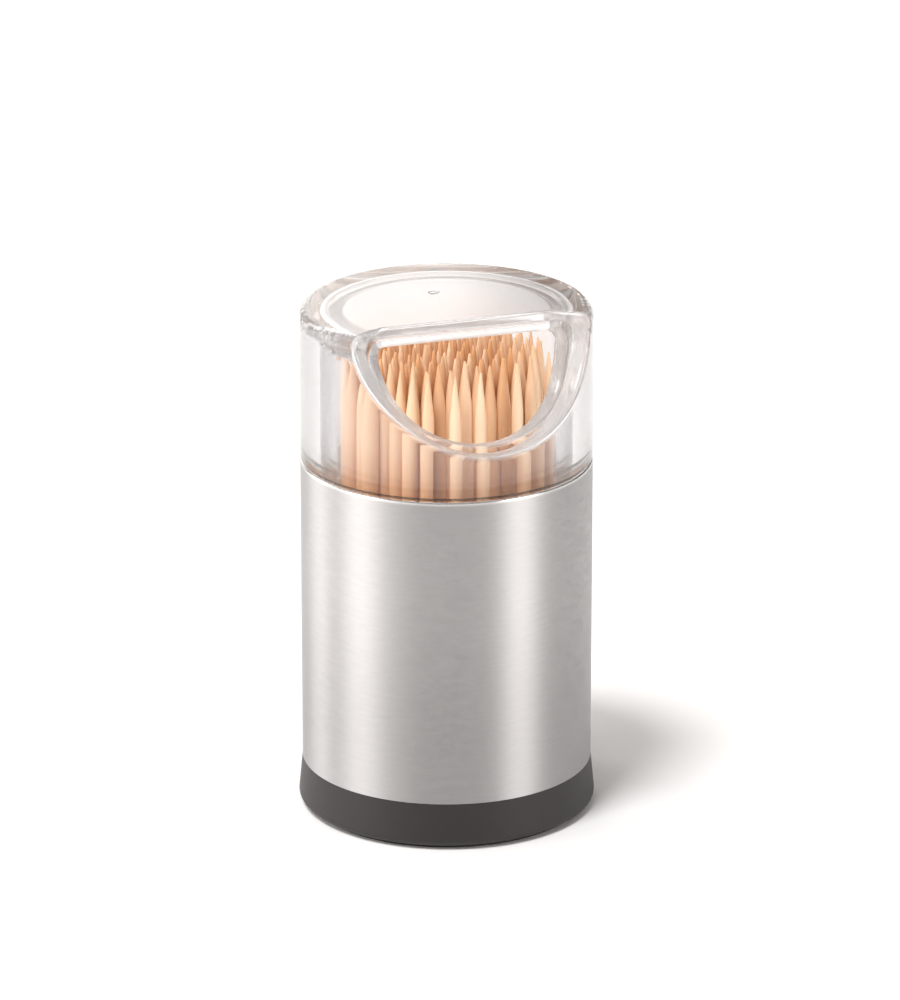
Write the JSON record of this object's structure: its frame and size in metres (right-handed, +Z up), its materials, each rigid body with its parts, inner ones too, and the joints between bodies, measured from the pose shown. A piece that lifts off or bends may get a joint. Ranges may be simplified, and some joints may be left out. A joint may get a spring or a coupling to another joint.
{
  "type": "toothpick dispenser",
  "caption": "Round upright toothpick dispenser: steel sleeve on a dark base, clear turning cap over a windowed liner, filled with toothpicks.",
  "frame": {"origin": "centre of the circle that the dispenser stands on", "axes": "+Z up along the sleeve's axis; the window faces -Y"},
  "size_m": [0.0492, 0.0492, 0.086],
  "materials": {
    "foot_rubber": "matt non-slip rubber",
    "base_plastic": "matt dark warm grey moulded plastic",
    "brushed_steel": "brushed round the tube",
    "cup_plastic": "satin light grey moulded plastic",
    "liner_clear": "clear polished plastic",
    "cap_clear": "clear polished plastic",
    "pick_wood": "bare birch, fine grain along the length"
  },
  "bodies": {
    "body": {"foot_ring": "foot_rubber", "base": "base_plastic", "sleeve": "brushed_steel", "inner_cup": "cup_plastic", "toothpick_front": "pick_wood", "toothpicks_wall": "pick_wood", "toothpick_row_1": "pick_wood", "toothpick_row_2": "pick_wood", "toothpick_row_3": "pick_wood", "toothpick_row_4": "pick_wood", "toothpick_row_5": "pick_wood", "toothpick_row_6": "pick_wood", "toothpick_row_7": "pick_wood", "toothpick_row_8": "pick_wood", "toothpick_row_9": "pick_wood", "toothpick_row_10": "pick_wood", "toothpick_row_11": "pick_wood", "toothpick_row_12": "pick_wood", "toothpick_row_13": "pick_wood", "toothpick_row_14": "pick_wood"},
    "liner": {"window_liner": "liner_clear"},
    "cap": {"twist_cap": "cap_clear"}
  },
  "joints": [
    {"name": "lid_lift", "type": "slide", "parent": "body", "child": "liner", "axis": [0, 0, 1], "range_m": [0, 0.04]},
    {"name": "cap_twist", "type": "hinge", "parent": "liner", "child": "cap", "pos_m": [0, 0, 0.07], "axis": [0, 0, 1], "continuous": true}
  ]
}
